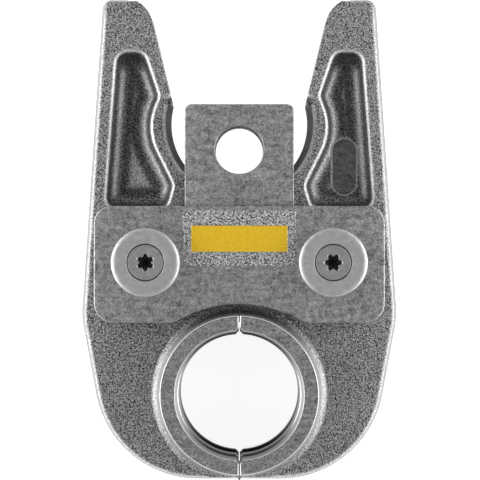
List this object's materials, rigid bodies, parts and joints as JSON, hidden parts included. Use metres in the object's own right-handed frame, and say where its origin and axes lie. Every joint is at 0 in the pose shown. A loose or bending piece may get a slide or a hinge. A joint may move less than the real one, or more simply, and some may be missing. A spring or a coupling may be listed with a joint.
{
  "type": "press fitting tool jaw",
  "caption": "Lever jaw for a radial press tool: two forged arms on pins between side plates, a round pressing mouth below and a locking bore above.",
  "frame": {"origin": "centre of the locking bore, at the jaw's mid-thickness", "axes": "+Z along the locking bore out of the front plate, +Y from the mouth to the arm tips, +X to the right jaw seen from the front"},
  "size_m": [0.0926, 0.1413, 0.038],
  "materials": {
    "forged_steel": "drop-forged and shot-blasted, coarse grain",
    "plate_steel": "tumbled plate, fine mottling, small scratches",
    "pin_steel": "ground",
    "disc_steel": "turned and tumbled",
    "screw_steel": "zinc-plated, dull",
    "spring_wire": "drawn wire"
  },
  "bodies": {
    "frame": {"front_plate": "plate_steel", "rear_plate": "plate_steel", "pivot_pin_left": "pin_steel", "pivot_pin_right": "pin_steel", "spring_post": "pin_steel", "front_disc_left": "disc_steel", "front_disc_right": "disc_steel", "rear_disc_left": "disc_steel", "rear_disc_right": "disc_steel", "front_screw_left": "screw_steel", "front_screw_right": "screw_steel", "rear_screw_left": "screw_steel", "rear_screw_right": "screw_steel", "return_spring": "spring_wire"},
    "jaw_left": {"jaw_left": "forged_steel"},
    "jaw_right": {"jaw_right": "forged_steel"}
  },
  "joints": [
    {"name": "left_jaw_open", "type": "hinge", "parent": "frame", "child": "jaw_left", "pos_m": [-0.0272, -0.0328, 0], "axis": [0, 0, -1], "range_deg": [0, 20], "stiffness_Nm_per_rad": 1, "springref_deg": -14.32, "deforming": ["return_spring"]},
    {"name": "right_jaw_open", "type": "hinge", "parent": "frame", "child": "jaw_right", "pos_m": [0.0272, -0.0328, 0], "axis": [0, 0, 1], "range_deg": [0, 20], "stiffness_Nm_per_rad": 1, "springref_deg": -14.32, "deforming": ["return_spring"]}
  ]
}
